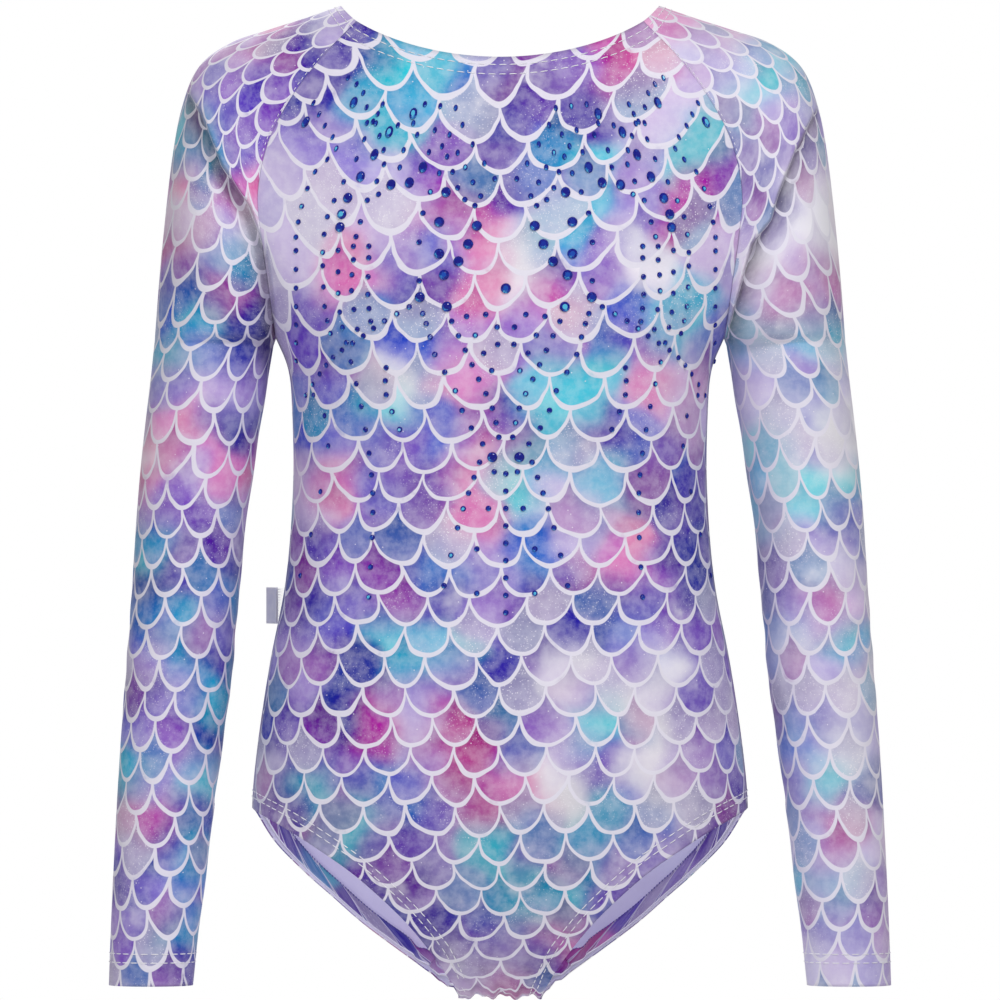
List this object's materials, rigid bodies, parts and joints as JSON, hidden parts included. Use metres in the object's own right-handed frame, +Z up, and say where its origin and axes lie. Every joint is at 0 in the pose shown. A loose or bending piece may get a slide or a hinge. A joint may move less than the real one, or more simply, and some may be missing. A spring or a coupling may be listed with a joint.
{
  "type": "gymnastics leotard",
  "caption": "Child's long-sleeved raglan gymnastics leotard with a scoop neck, high-cut legs, an all-over scale print and rhinestones on the chest.",
  "frame": {"origin": "midway between the two neck points, at the top of the shoulders, where the wearer's shoulders hold the leotard up", "axes": "+Z up, the chest faces -Y, +X is the wearer's left"},
  "size_m": [0.4112, 0.1719, 0.521],
  "materials": {
    "printed_knit": "smooth elastane knit with a printed scale pattern and a soft sheen",
    "lining_knit": "unprinted pale knit lining",
    "elastic": "braided elastic tape",
    "seam_thread": "overlocked polyester thread",
    "face_thread": "white twin-needle stitching",
    "rhinestone": "faceted sapphire stone with a foiled back",
    "label_satin": "blank woven satin label"
  },
  "bodies": {
    "torso": {"front_panel": "printed_knit", "back_panel": "printed_knit", "left_sleeve_cap": "printed_knit", "right_sleeve_cap": "printed_knit", "crotch_lining": "lining_knit", "neck_hem": "printed_knit", "left_leg_hem": "printed_knit", "right_leg_hem": "printed_knit", "neck_elastic": "elastic", "left_leg_elastic": "elastic", "right_leg_elastic": "elastic", "left_front_raglan_seam": "seam_thread", "right_front_raglan_seam": "seam_thread", "left_back_raglan_seam": "seam_thread", "right_back_raglan_seam": "seam_thread", "left_side_seam": "seam_thread", "right_side_seam": "seam_thread", "crotch_seam": "seam_thread", "neck_stitching": "face_thread", "left_leg_stitching": "face_thread", "right_leg_stitching": "face_thread", "large_rhinestones": "rhinestone", "small_rhinestones": "rhinestone", "label_stitching": "face_thread"},
    "left_sleeve": {"left_sleeve": "printed_knit", "left_cuff_hem": "printed_knit", "left_underarm_seam": "seam_thread", "left_cuff_stitching": "face_thread"},
    "right_sleeve": {"right_sleeve": "printed_knit", "right_cuff_hem": "printed_knit", "right_underarm_seam": "seam_thread", "right_cuff_stitching": "face_thread"},
    "care_label": {"care_label": "label_satin"}
  },
  "joints": [
    {"name": "left_sleeve_swing", "type": "hinge", "parent": "torso", "child": "left_sleeve", "pos_m": [0.1824, 0, -0.1765], "axis": [0, -1, 0], "range_deg": [0, 60]},
    {"name": "right_sleeve_swing", "type": "hinge", "parent": "torso", "child": "right_sleeve", "pos_m": [-0.1824, 0, -0.1765], "axis": [0, 1, 0], "range_deg": [0, 60]},
    {"name": "care_label_flip", "type": "hinge", "parent": "torso", "child": "care_label", "pos_m": [-0.11661, 0, -0.314], "axis": [0, 0, 1], "range_deg": [0, 125]}
  ]
}
